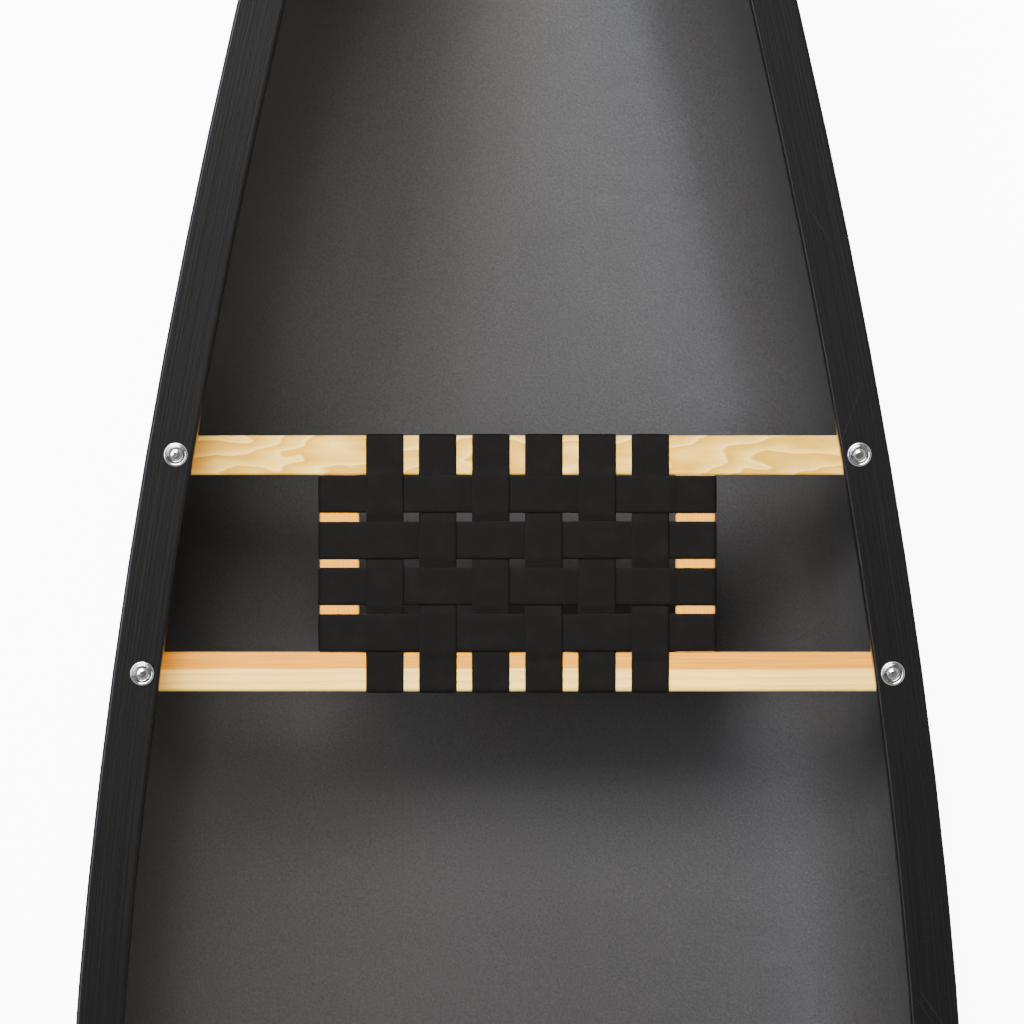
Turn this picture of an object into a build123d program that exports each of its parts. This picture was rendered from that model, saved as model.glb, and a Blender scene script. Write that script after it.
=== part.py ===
"""Sixteen-foot tandem canoe: one laminate hull, vinyl gunwales with alloy stiffeners, two webbed ash
seats hung on trusses, a carrying yoke, a thwart, end handles and deck caps, with all their fasteners.

Frame: +X towards the bow, +Y to port, +Z up. The origin is on the floor, under the middle of the hull.
All sizes are in millimetres.
"""

import math
import os

from build123d import *

# Hull lines
overall_length = 4877.0  # over the deck caps
beam = 914.0  # over the gunwales, amidships
centre_depth = 368.0  # floor to the gunwale's top, amidships
end_height = 540.0  # floor to the gunwale's top, at each end
tip_width = 50.0  # over the gunwales, at each end
plan_power = 1.974  # how long the middle of the boat stays wide
plan_taper = 1.28  # how finely the ends draw in
sheer_power = 3.0
rocker = 45.0  # rise of the keel line at the ends, before the stem
rocker_power = 2.2
stem_reach = 420.0  # length of the stem curve, along the hull
stem_power = 2.6
stem_head = 64.0  # upright height left at the head of the stem
hull_wall = 6.0
floor_pull = (0.56, 0.16)  # amidships and at the ends: the floor's curve point, of the half width
bilge_pull = (1.06, 0.50)  # the bilge's curve point outwards, of the half width
bilge_rise = (0.03, 0.14)  # the bilge's curve point upwards, of the side's height
side_rise = (0.42, 0.50)  # where the side turns upright, of its height
straight_band = 44.0  # upright top of the hull's sides, which the gunwales grip

# Gunwales
gunwale_width = 48.0
gunwale_depth = 28.0
outwale_width = 13.0  # gunwale's outer edge to the hull's outer face
cap_thickness = 4.0  # vinyl over the hull's edge
vinyl_wall = 4.0
gunwale_round = 3.0
inwale_stop = 245.0  # inner half of the gunwale stops this far from the end
edge_gap = 0.3  # clearance of the hull's edge in its slot, and of parts slid into pockets
rest_gap = 0.1  # air between two parts that rest on each other

# Seats
seat_width = 400.0  # over the side rails
rail_width = 40.0
rail_thickness = 19.0
rail_spacing = 219.0  # between the centres of the two long rails
rail_round = 3.0
seat_drop = 60.0  # gunwale's underside to the rail's top
bow_seat_station = 846.0  # centre of the seat, from the middle of the boat
stern_seat_station = -1330.0
truss_thickness = 16.0
truss_overhang = 19.0  # truss beyond each bolt
truss_foot = 50.0  # length of a truss's foot on its rail
truss_arch = 34.0  # rise of the arch between a truss's feet
dowel_radius = 4.0
dowel_length = 36.0
dowel_spacing = 18.0

# Seat webbing
strap_width = 38.0
strap_thickness = 1.6
lengthwise_straps = 6
crosswise_straps = 4
lengthwise_pitch = 53.7
crosswise_pitch = 46.7
strap_ramp = 9.0  # length in which a strap climbs from its rail onto the first crossing
strap_bend = 6.0
strap_flap = 32.0  # strap turned under the rail, from the rail's outer face
staple_crown = 11.0
staple_wire = 1.0
staple_leg = 7.0
staple_offset = 10.0  # of each of two staples from a strap's centreline
staple_inset = 22.0  # staple to the rail's outer face

# Yoke, thwart and handles
bar_thickness = 20.0
bar_round = 5.0
bar_end_gap = 1.0  # wooden ends to the hull's inner face
yoke_end_width = 72.0
yoke_waist = 52.0
yoke_shoulder_width = 100.0
yoke_shoulder_place = 128.0  # shoulder rests, each side of the middle
yoke_notch_depth = 58.0
yoke_back_bulge = 14.0
yoke_scoop_radius = 150.0
yoke_scoop_depth = 6.0
yoke_bolt_pitch = 40.0
yoke_notch_half = (0.33, 0.62)  # on the notch's side: share of the way to a shoulder, share of the depth
yoke_notch_rim = (0.72, 0.06)
yoke_waist_share = 0.56  # of the waist, on each side of the yoke's line
yoke_waist_place = 2.0  # waist's place, in shoulder places
yoke_end_start = 0.84  # where the broad ends begin, of half the beam
bar_swell = (0.4, 0.2)  # thwart and handles: share of the way out, share of the widening
bar_end_start = 0.86
bar_spare = 20.0  # bar drawn past the gunwale before it is cut to the hull
thwart_station = -640.0
thwart_end_width = 54.0
thwart_waist = 40.0
handle_setback = 388.0  # handle's centre to the end of the boat
handle_end_width = 40.0
handle_waist = 31.0

# Deck caps
deck_length = 272.0
deck_wall = 3.0
deck_skirt = 33.0  # depth of the skirt, from the gunwale's top
deck_round = 2.4
deck_round_ease = 0.6  # more round on the block that is taken away from inside the cap
deck_rim_share = 0.9  # of the skirt, above which an edge belongs to the cap's rim
deck_scallop_radius = 95.0
deck_scallop_setback = 51.0
painter_setback = 176.0  # painter hole's centre to the end of the boat
painter_bore_radius = 6.0
painter_boss_radius = 11.0
painter_boss_length = 20.0
painter_boss_stand = 1.5  # boss above the highest part of the deck it meets

# Fasteners
bolt_inset = 30.0  # bolt's centre to the gunwale's outer edge
bolt_radius = 3.1
bolt_hole_radius = 3.4
bolt_head_radius = 6.0
bolt_head_crown = 1.4
bolt_socket = 3.6
bolt_socket_depth = 2.6
bolt_tail = 3.0  # bolt past the nut
cup_radius = 12.4
cup_height = 2.6
washer_radius = 6.4
washer_thickness = 1.5
nut_flats = 10.0
nut_height = 5.0
nut_collar_radius = 4.3
nut_collar_height = 2.6
thread_gap = 0.05
rivet_pitch = 165.0
rivet_end_distance = 60.0
rivet_depth = 16.0  # rivet's centre below the gunwale's top
rivet_length = 26.0
rivet_radius = 2.4
rivet_head_radius = 4.2
rivet_head_depth = 1.8
deck_rivet_length = 11.0  # below the gunwale's top
deck_rivet_inset = 6.4
deck_rivet_stand = 1.2
deck_rivet_places = (250.0, 150.0, 50.0)  # from the end of the boat

# Worked out from the above
half_length = overall_length / 2 - deck_wall - edge_gap
slot_outer = outwale_width - edge_gap
slot_inner = outwale_width + hull_wall + edge_gap
pocket_outer = slot_inner + vinyl_wall
pocket_inner = gunwale_width - vinyl_wall
inwale_end = half_length - inwale_stop
strap_low = rest_gap + strap_thickness / 2
strap_high = strap_low + strap_thickness + rest_gap
hull_stations = (0, 0.1, 0.2, 0.3, 0.4, 0.5, 0.6, 0.68, 0.76, 0.83, 0.88, 0.92, 0.95, 0.975, 1)
cavity_stations = (0, 0.1, 0.2, 0.3, 0.4, 0.5, 0.6, 0.68, 0.76, 0.83, 0.88, 0.92, 0.95, 0.97, 0.985)


# ---------------------------------------------------------------- lines of the boat


def run(x):
    """Distance from amidships as a share of the half length."""
    return abs(x) / half_length


def plan_half_width(x):
    """Half the width over the gunwales."""
    along = min(run(x), 1.0)
    return (tip_width + (beam - tip_width) * (1 - along**plan_power) ** plan_taper) / 2


def sheer_height(x):
    """Height of the gunwale's top."""
    return centre_depth + (end_height - centre_depth) * run(x) ** sheer_power


def keel_height(x):
    """Height of the hull's underside on the centreline: gentle rocker, then the stem curve."""
    stem_rise = end_height - stem_head - rocker
    along_stem = max(0.0, (abs(x) - half_length + stem_reach) / stem_reach)
    return rocker * run(x) ** rocker_power + stem_rise * along_stem**stem_power


def gradient(height, x):
    """Slope of one of the lines above."""
    step = 0.5
    return (height(x + step) - height(x - step)) / (2 * step)


def mix(middle, end, x):
    """A value that changes smoothly from amidships to the ends."""
    return middle + (end - middle) * run(x) ** 2.2


def spaced(first, last, count):
    """Evenly spaced stations from first to last."""
    return [first + (last - first) * i / count for i in range(count + 1)]


def closed_face(first, second):
    """Flat face between two curves that start at the same side."""
    edges = [
        first,
        Edge.make_line(first @ 1, second @ 1),
        second,
        Edge.make_line(second @ 0, first @ 0),
    ]
    return Face(Wire(edges))


def stations_between(first, last):
    """The hull's stations that fall between two others, with those two."""
    fractions = [-f for f in reversed(hull_stations[1:])] + list(hull_stations)
    inner = [half_length * f for f in fractions if first + 5 < half_length * f < last - 5]
    return [first] + inner + [last]


def section_loop(x, corners):
    """Closed outline across the boat: square corners, each given by its Y, Z and radius."""
    arrive = []
    leave = []
    middles = []
    for i, (y, z, radius) in enumerate(corners):
        corner = Vector(x, y, z)
        before = Vector(x, *corners[i - 1][:2])
        after = Vector(x, *corners[(i + 1) % len(corners)][:2])
        start = corner + (before - corner).normalized() * radius
        end = corner + (after - corner).normalized() * radius
        centre = start + end - corner
        arrive.append(start)
        leave.append(end)
        middles.append(centre + (corner - centre) * math.sqrt(0.5))
    edges = []
    for i, (y, z, radius) in enumerate(corners):
        if radius:
            edges.append(Edge.make_three_point_arc(arrive[i], middles[i], leave[i]))
        edges.append(Edge.make_line(leave[i], arrive[(i + 1) % len(corners)]))
    return Wire(edges)


def along_gunwale(profile, first, last):
    """Port part with a constant profile of (inset, drop, radius) corners that follows the gunwale."""
    loops = []
    for x in stations_between(first, last):
        half = plan_half_width(x)
        top = sheer_height(x)
        loops.append(section_loop(x, [(half - inset, top - drop, r) for inset, drop, r in profile]))
    return Solid.make_loft(loops)


def box_profile(outer, inner, upper, lower):
    """Plain rectangle for along_gunwale, between two insets and two drops."""
    return [(outer, lower, 0), (outer, upper, 0), (inner, upper, 0), (inner, lower, 0)]


def starboard(part):
    """The same part on the other side of the boat."""
    return mirror(part, about=Plane.XZ)


def at_sheer(x, y, drop=0.0):
    """Plane on the gunwale's top at a station, sloping with it."""
    rise = gradient(sheer_height, x)
    origin = (x, y, sheer_height(x) - drop)
    return Plane(origin=origin, x_dir=(1, 0, rise), z_dir=(-rise, 0, 1))


# ---------------------------------------------------------------- hull


def hull_section(x, inset, above):
    """Closed outline across the hull, moved in from its outer face by inset, closed above the sheer."""
    half = plan_half_width(x) - outwale_width - inset
    floor = keel_height(x) + inset * math.hypot(1, gradient(keel_height, x))
    shoulder = sheer_height(x) - straight_band
    top = sheer_height(x) + above
    rise = shoulder - floor
    port = [
        (0.0, floor),
        (mix(*floor_pull, x) * half, floor),
        (mix(*bilge_pull, x) * half, floor + mix(*bilge_rise, x) * rise),
        (half, floor + mix(*side_rise, x) * rise),
        (half, shoulder),
    ]
    edges = [
        Edge.make_bezier(*[(x, y, z) for y, z in port]),
        Edge.make_line((x, half, shoulder), (x, half, top)),
        Edge.make_line((x, half, top), (x, -half, top)),
        Edge.make_line((x, -half, top), (x, -half, shoulder)),
        Edge.make_bezier(*[(x, -y, z) for y, z in reversed(port)]),
    ]
    return Wire(edges)


def hull_body(fractions, inset, above):
    """Solid inside the hull's outer face, moved in by inset."""
    ahead = [half_length * f for f in fractions]
    stations = [-x for x in reversed(ahead[1:])] + ahead
    return Solid.make_loft([hull_section(x, inset, above) for x in stations])


def hull():
    """The laminate shell, up to the gunwales' caps and drilled for the gunwales' rivets."""
    outside = hull_body(hull_stations, 0, -cap_thickness - edge_gap)
    inside = hull_body(cavity_stations, hull_wall, 60)
    shell = outside - inside
    drills = gunwale_rivet_row(thread_gap)
    return shell - (drills + [starboard(drill) for drill in drills])


# ---------------------------------------------------------------- fasteners


def revolved(*points):
    """Solid of revolution about Z from a closed outline of radius and height."""
    outline = Polyline(*[(r, 0, z) for r, z in points], close=True)
    return revolve(make_face(outline), axis=Axis.Z)


def screw(length):
    """Oval-head machine screw with a square socket; its seat is at height zero."""
    waist = cup_height - 0.1
    head = [
        (0, waist + bolt_head_crown),
        (bolt_head_radius * 0.4, waist + bolt_head_crown * 0.86),
        (bolt_head_radius * 0.75, waist + bolt_head_crown * 0.46),
        (bolt_head_radius, waist - 0.1),
        (bolt_radius, 0),
        (bolt_radius, -length + 0.8),
        (bolt_radius - 0.7, -length),
        (0, -length),
    ]
    socket = Box(bolt_socket, bolt_socket, 2 * bolt_socket_depth)
    return revolved(*head) - Pos(0, 0, waist + bolt_head_crown) * socket


def cup():
    """Finishing washer: rolled rim, a groove and the collar that holds the screw's head."""
    profile = Polyline(
        (bolt_hole_radius, 0),
        (cup_radius, 0),
        (cup_radius, 0.7),
    )
    rim = ThreePointArc((cup_radius, 0.7), (cup_radius - 1.2, 2.2), (cup_radius - 2.9, 2.1))
    inner = Polyline(
        (cup_radius - 2.9, 2.1),
        (cup_radius - 4.0, 1.0),
        (cup_radius - 4.7, 1.0),
        (bolt_head_radius + 0.9, cup_height - 0.3),
        (bolt_head_radius + 0.3, cup_height - 0.3),
        (bolt_hole_radius, 0),
    )
    return revolve(Plane.XZ * make_face([profile, rim, inner]), axis=Axis.Z)


def flat_washer(grip):
    """Plain washer under the wood."""
    top = -grip - rest_gap
    return revolved(
        (bolt_hole_radius, top),
        (washer_radius, top),
        (washer_radius, top - washer_thickness),
        (bolt_hole_radius, top - washer_thickness),
    )


def lock_nut(grip):
    """Hexagon nut with a locking collar, under the washer."""
    top = -grip - 2 * rest_gap - washer_thickness
    body = extrude(RegularPolygon(nut_flats / 2, 6, major_radius=False), amount=-nut_height)
    collar = Cylinder(
        nut_collar_radius,
        nut_collar_height,
        align=(Align.CENTER, Align.CENTER, Align.MAX),
    )
    bore = Cylinder(bolt_radius + thread_gap, 4 * nut_height)
    return Pos(0, 0, top) * (body + Pos(0, 0, -nut_height) * collar - bore)


def fastener_set(name, places):
    """Screws, cups, washers and nuts at the given places, each a plane and the depth it grips."""
    extra = washer_thickness + nut_height + nut_collar_height + bolt_tail
    save(name + "_screws", [plane * screw(grip + extra) for plane, grip in places])
    save(name + "_cup_washers", [plane * (Pos(0, 0, rest_gap / 2) * cup()) for plane, grip in places])
    save(name + "_flat_washers", [plane * flat_washer(grip) for plane, grip in places])
    save(name + "_lock_nuts", [plane * lock_nut(grip) for plane, grip in places])


def bolt_drills(places):
    """Holes for the bolts, through gunwale and wood."""
    return [plane * Cylinder(bolt_hole_radius, 2 * grip + 20) for plane, grip in places]


def spot_faces(places):
    """Flat seats for the cup washers in the gunwales' tops."""
    facing = Cylinder(cup_radius + 0.3, 12, align=(Align.CENTER, Align.CENTER, Align.MIN))
    return [plane * facing for plane, grip in places]


def both_sides(places):
    """Port places with their starboard twins."""
    twins = []
    for plane, grip in places:
        x, y, z = plane.origin
        twins.append((Plane(origin=(x, -y, z), x_dir=plane.x_dir, z_dir=plane.z_dir), grip))
    return places + twins


def bar_bolts(station, offsets):
    """Port bolts of a yoke, thwart or handle, square to the gunwale there."""
    grip = gunwale_depth + rest_gap + bar_thickness
    places = []
    for offset in offsets:
        x = station + offset
        places.append((at_sheer(x, plan_half_width(x) - bolt_inset, rest_gap), grip))
    return places


def seat_bolts(station):
    """Port bolts of a seat: upright, through gunwale, truss and rail."""
    underside = seat_top(station) - rail_thickness
    places = []
    for side in (1, -1):
        x = station + side * rail_spacing / 2
        tilt = abs(gradient(sheer_height, x)) * cup_radius
        height = sheer_height(x) - tilt - rest_gap
        origin = (x, plan_half_width(x) - bolt_inset, height)
        places.append((Plane(origin=origin), height - underside))
    return places


def gunwale_rivet(gap):
    """Countersunk rivet along Z, its head just below height zero; gap makes the hole for it."""
    top = 1.0 if gap else -0.1
    tip = -rivet_length - gap
    return revolved(
        (0, top),
        (rivet_head_radius + gap, top),
        (rivet_head_radius + gap, -0.4),
        (rivet_radius + gap, -0.4 - rivet_head_depth),
        (rivet_radius + gap, tip),
        (0, tip),
    )


def gunwale_rivet_row(gap):
    """Rivets, or the holes for them, along the port gunwale."""
    count = round(2 * (half_length - rivet_end_distance) / rivet_pitch)
    ends = half_length - rivet_end_distance
    row = []
    for x in spaced(-ends, ends, count):
        origin = (x, plan_half_width(x), sheer_height(x) - rivet_depth)
        outwards = (-gradient(plan_half_width, x), 1, 0)
        row.append(Plane(origin=origin, x_dir=(0, 0, 1), z_dir=outwards) * gunwale_rivet(gap))
    return row


# ---------------------------------------------------------------- gunwales


def gunwale(places):
    """Port gunwale: outer half, cap over the hull's edge and hollow inner half."""
    soft = gunwale_round
    middle_profile = [
        (0, gunwale_depth, soft),
        (0, 0, soft),
        (gunwale_width, 0, soft),
        (gunwale_width, gunwale_depth, soft),
        (slot_inner, gunwale_depth, 0),
        (slot_inner, cap_thickness, 0),
        (slot_outer, cap_thickness, 0),
        (slot_outer, gunwale_depth, 0),
    ]
    end_profile = [
        (0, gunwale_depth, soft),
        (0, 0, soft),
        (slot_inner, 0, 0),
        (slot_inner, cap_thickness, 0),
        (slot_outer, cap_thickness, 0),
        (slot_outer, gunwale_depth, 0),
    ]
    hollow = box_profile(pocket_outer, pocket_inner, vinyl_wall, gunwale_depth - vinyl_wall)
    body = along_gunwale(middle_profile, -inwale_end, inwale_end)
    body = body - along_gunwale(hollow, -inwale_end, inwale_end)
    body = body + along_gunwale(end_profile, inwale_end, half_length)
    body = body + along_gunwale(end_profile, -half_length, -inwale_end)
    drills = gunwale_rivet_row(thread_gap) + deck_rivet_drills()
    return body - (drills + bolt_drills(places) + spot_faces(places))


def stiffener(places):
    """Alloy bar inside the port gunwale's inner half."""
    end = inwale_end - 8
    profile = box_profile(
        pocket_outer + edge_gap,
        pocket_inner - edge_gap,
        vinyl_wall + edge_gap,
        gunwale_depth - vinyl_wall - edge_gap,
    )
    bar = along_gunwale(profile, -end, end)
    inside = [hole for hole in gunwale_rivet_row(thread_gap) if abs(hole.center().X) < end - 6]
    return bar - (inside + bolt_drills(places))


# ---------------------------------------------------------------- seats


def seat_top(station):
    """Height of a seat frame's top: level, and low enough to hang clear at both its rails."""
    ends = (station - rail_spacing / 2, station + rail_spacing / 2)
    return min(sheer_height(x) for x in ends) - gunwale_depth - seat_drop


def rail_bar(length):
    """Wooden rail along Y with its top at height zero and softened edges."""
    bar = Box(rail_width, length, rail_thickness, align=(Align.CENTER, Align.CENTER, Align.MAX))
    return fillet(bar.edges().filter_by(Axis.Y), rail_round)


def dowels(gap):
    """Dowels of one seat frame, or their holes, about the frame's centre."""
    joint_x = rail_spacing / 2 - rail_width / 2
    joint_y = seat_width / 2 - rail_width / 2
    pin = Rot(0, 90, 0) * Cylinder(dowel_radius + gap, dowel_length + 2 * gap)
    pins = []
    for sx in (1, -1):
        for sy in (1, -1):
            for offset in (-dowel_spacing / 2, dowel_spacing / 2):
                pins.append(Pos(sx * joint_x, sy * joint_y + offset, -rail_thickness / 2) * pin)
    return pins


def strap(outer, crossings, over):
    """Strap along local X, wrapped over two rails whose outer faces are at plus and minus outer."""
    reach = outer + strap_low
    under = -rail_thickness - strap_low
    margin = strap_width / 2 + 0.5
    points = [(outer - strap_flap, under), (reach, under), (reach, strap_low)]
    corners = [rail_round + strap_low, rail_round + strap_low]
    level = strap_low
    leave = crossings[0] + margin + strap_ramp
    for place, is_over in zip(crossings, over):
        wanted = strap_high if is_over else strap_low
        if wanted != level:
            points += [(leave, level), (place + margin, wanted)]
            corners += [strap_bend, strap_bend]
        level = wanted
        leave = place - margin
    if level != strap_low:
        points += [(leave, level), (leave - strap_ramp, strap_low)]
        corners += [strap_bend, strap_bend]
    points += [(-reach, strap_low), (-reach, under), (strap_flap - outer, under)]
    corners += [rail_round + strap_low, rail_round + strap_low]
    path = FilletPolyline(*points, radius=corners)
    outline = path.offset_2d(strap_thickness / 2, kind=Kind.INTERSECTION, side=Side.BOTH)
    return extrude(Face(outline), amount=strap_width / 2, both=True)


def centred(count, pitch):
    """Places of a row of straps about the frame's centre, highest first."""
    return [pitch * ((count - 1) / 2 - i) for i in range(count)]


def webbing():
    """Woven straps about the frame's centre: those along the boat, then those across it."""
    rows = centred(crosswise_straps, crosswise_pitch)
    columns = centred(lengthwise_straps, lengthwise_pitch)
    along = []
    for i, y in enumerate(columns):
        over = [(i + j) % 2 == 0 for j in range(len(rows))]
        outer = rail_spacing / 2 + rail_width / 2
        along.append(Pos(0, y, 0) * (Plane.XZ * strap(outer, rows, over)))
    across = []
    for j, x in enumerate(rows):
        over = [(i + j) % 2 == 1 for i in range(len(columns))]
        across.append(Pos(x, 0, 0) * (Plane.YZ * strap(seat_width / 2, columns, over)))
    return along, across


def staple(gap):
    """Staple along Y pushed up into wood; its crown's underside is at height zero."""
    side = staple_wire + 2 * gap
    crown = Box(side, staple_crown + 2 * gap, side, align=(Align.CENTER, Align.CENTER, Align.MIN))
    legs = []
    for end in (1, -1):
        leg = Box(side, side, staple_leg + gap, align=(Align.CENTER, Align.CENTER, Align.MIN))
        legs.append(Pos(0, end * (staple_crown - staple_wire) / 2, 0) * leg)
    return Pos(0, 0, -gap) * crown + legs


def staples(gap):
    """Staples of one seat's webbing, or the slots for them, about the frame's centre."""
    depth = -rail_thickness - rest_gap - strap_thickness - rest_gap / 2 - staple_wire
    one = staple(gap)
    pins = []
    for y in centred(lengthwise_straps, lengthwise_pitch):
        for shift in (-staple_offset, staple_offset):
            for end in (1, -1):
                x = end * (rail_spacing / 2 + rail_width / 2 - staple_inset)
                pins.append(Pos(x, y + shift, depth) * one)
    for x in centred(crosswise_straps, crosswise_pitch):
        for shift in (-staple_offset, staple_offset):
            for end in (1, -1):
                y = end * (seat_width / 2 - staple_inset)
                pins.append(Pos(x + shift, y, depth) * (Rot(0, 0, 90) * one))
    return pins


def truss(station):
    """Arched board between the port gunwale and the seat's two rails."""
    front, rear = [plane.origin for plane, grip in seat_bolts(station)]
    span = math.hypot(front.X - rear.X, front.Y - rear.Y)
    angle = math.degrees(math.atan2(front.Y - rear.Y, front.X - rear.X))
    length = span + 2 * truss_overhang
    board = Box(length, truss_thickness, 240, align=(Align.CENTER, Align.CENTER, Align.MIN))
    half_opening = (span + 2 * truss_overhang) / 2 - truss_foot
    radius = (half_opening**2 + truss_arch**2) / (2 * truss_arch)
    arch = Rot(90, 0, 0) * Cylinder(radius, 4 * truss_thickness)
    board = board - Pos(0, 0, truss_arch - radius) * arch
    middle = ((front.X + rear.X) / 2, (front.Y + rear.Y) / 2, seat_top(station) + rest_gap)
    board = Pos(*middle) * (Rot(0, 0, angle) * board)
    above = Box(600, 600, 400, align=(Align.CENTER, Align.CENTER, Align.MIN))
    board = board - at_sheer(station, middle[1], gunwale_depth + rest_gap) * above
    return board - bolt_drills(seat_bolts(station))


def save_seat(name, station, cavity):
    """Every part of one seat."""
    centre = Pos(station, 0, seat_top(station))
    pin_holes = dowels(thread_gap)
    slots = staples(thread_gap)
    drills = bolt_drills(both_sides(seat_bolts(station)))
    for end, side in (("front", 1), ("rear", -1)):
        bar = Pos(side * rail_spacing / 2, 0, 0) * rail_bar(beam)
        bar = centre * (bar - pin_holes - slots)
        save(name + "_" + end + "_rail", [(bar & cavity) - drills])
    for end, side in (("port", 1), ("starboard", -1)):
        bar = Rot(0, 0, 90) * rail_bar(rail_spacing - rail_width - 2 * rest_gap)
        bar = Pos(0, side * (seat_width / 2 - rail_width / 2), 0) * bar
        save(name + "_side_rail_" + end, [centre * (bar - pin_holes - slots)])
    along, across = webbing()
    save(name + "_dowels", [centre * pin for pin in dowels(0)])
    save(name + "_straps_lengthwise", [centre * (piece - slots) for piece in along])
    save(name + "_straps_crosswise", [centre * (piece - slots) for piece in across])
    save(name + "_staples", [centre * pin for pin in staples(0)])
    save(name + "_truss_port", [truss(station)])
    save(name + "_truss_starboard", [starboard(truss(station))])
    fastener_set(name, both_sides(seat_bolts(station)))


# ---------------------------------------------------------------- yoke, thwart and handles


def bar_from_edges(front, back):
    """Board between two edges drawn from starboard to port, top at height zero, softened."""
    board = extrude(closed_face(front, back), amount=-bar_thickness, dir=(0, 0, 1))
    long_edges = [edge for edge in board.edges() if edge.length > 3 * bar_thickness]
    long_edges = [edge for edge in long_edges if abs(edge.tangent_at(0.5).Y) > 0.5]
    return fillet(long_edges, bar_round)


def smooth_edge(points):
    """Spline through half an edge's points, given from the middle outwards, and its mirror image."""
    left = [(x, -y, 0) for x, y in reversed(points[1:])]
    return Edge.make_spline(left + [(x, y, 0) for x, y in points])


def yoke(cavity, places):
    """Carrying yoke: neck notch forward, dished shoulder rests, broad ends under the gunwales."""
    reach = beam / 2
    shoulder = yoke_shoulder_width / 2
    front = smooth_edge(
        [
            (shoulder - yoke_notch_depth, 0),
            (shoulder - yoke_notch_half[1] * yoke_notch_depth, yoke_notch_half[0] * yoke_shoulder_place),
            (shoulder - yoke_notch_rim[1] * yoke_notch_depth, yoke_notch_rim[0] * yoke_shoulder_place),
            (shoulder, yoke_shoulder_place),
            (yoke_waist_share * yoke_waist, yoke_waist_place * yoke_shoulder_place),
            (yoke_end_width / 2, yoke_end_start * reach),
            (yoke_end_width / 2, reach),
        ]
    )
    back = smooth_edge(
        [
            (-shoulder - yoke_back_bulge, 0),
            (-shoulder, yoke_shoulder_place),
            (-yoke_waist_share * yoke_waist, yoke_waist_place * yoke_shoulder_place),
            (-yoke_end_width / 2, yoke_end_start * reach),
            (-yoke_end_width / 2, reach),
        ]
    )
    board = bar_from_edges(front, back)
    scoop = Rot(0, 90, 0) * Cylinder(yoke_scoop_radius, 4 * shoulder)
    scoops = []
    for side in (1, -1):
        centre = (0, side * yoke_shoulder_place, yoke_scoop_radius - yoke_scoop_depth)
        scoops.append(Pos(*centre) * scoop)
    board = board - scoops
    board = Pos(0, 0, sheer_height(0) - gunwale_depth - rest_gap) * board
    return (board & cavity) - bolt_drills(both_sides(places))


def cross_bar(station, end_width, waist, cavity, places):
    """Thwart or handle: waisted bar from side to side, sloping with the gunwale."""
    reach = plan_half_width(station) - outwale_width
    half_edge = [
        (waist / 2, 0),
        (waist / 2 + bar_swell[1] * (end_width - waist) / 2, bar_swell[0] * reach),
        (end_width / 2, bar_end_start * reach),
        (end_width / 2, reach + bar_spare),
    ]
    front = smooth_edge(half_edge)
    back = smooth_edge([(-x, y) for x, y in half_edge])
    board = at_sheer(station, 0, gunwale_depth + rest_gap) * bar_from_edges(front, back)
    return (board & cavity) - bolt_drills(both_sides(places))


# ---------------------------------------------------------------- deck caps


def deck_rivet(gap):
    """Domed rivet along Z through deck and outwale; height zero is the gunwale's top."""
    seat = deck_wall + edge_gap
    if gap:
        return Cylinder(rivet_radius + gap, 2 * (deck_rivet_length + gap))
    return revolved(
        (0, seat + deck_rivet_stand),
        (0.5 * rivet_head_radius, seat + 0.85 * deck_rivet_stand),
        (rivet_head_radius, seat + 0.05),
        (rivet_radius, seat + 0.05),
        (rivet_radius, -deck_rivet_length),
        (0, -deck_rivet_length),
    )


def deck_rivets(gap):
    """Rivets of the bow's deck cap on the port side, or the holes for them."""
    row = []
    for place in deck_rivet_places:
        x = half_length - place
        row.append(at_sheer(x, plan_half_width(x) - deck_rivet_inset) * deck_rivet(gap))
    return row


def astern(part):
    """The same part turned end for end."""
    return Rot(0, 0, 180) * part


def deck_rivet_drills():
    """Holes in the port gunwale for the rivets of both deck caps."""
    drills = deck_rivets(thread_gap)
    return drills + [astern(starboard(drill)) for drill in drills]


def deck_block(margin, skirt, soft, first):
    """Solid over an end of the boat, margin above and outside the gunwales, ending in a flat nose."""
    loops = []
    for x in stations_between(first, half_length):
        half = plan_half_width(x) + margin
        top = sheer_height(x) + margin
        foot = sheer_height(x) - skirt
        corners = [(half, foot, 0), (half, top, soft), (-half, top, soft), (-half, foot, 0)]
        loops.append(section_loop(x, corners))
    nose = extrude(Face(loops[-1]), amount=margin, dir=(1, 0, 0))
    return Solid.make_loft(loops) + nose


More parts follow.
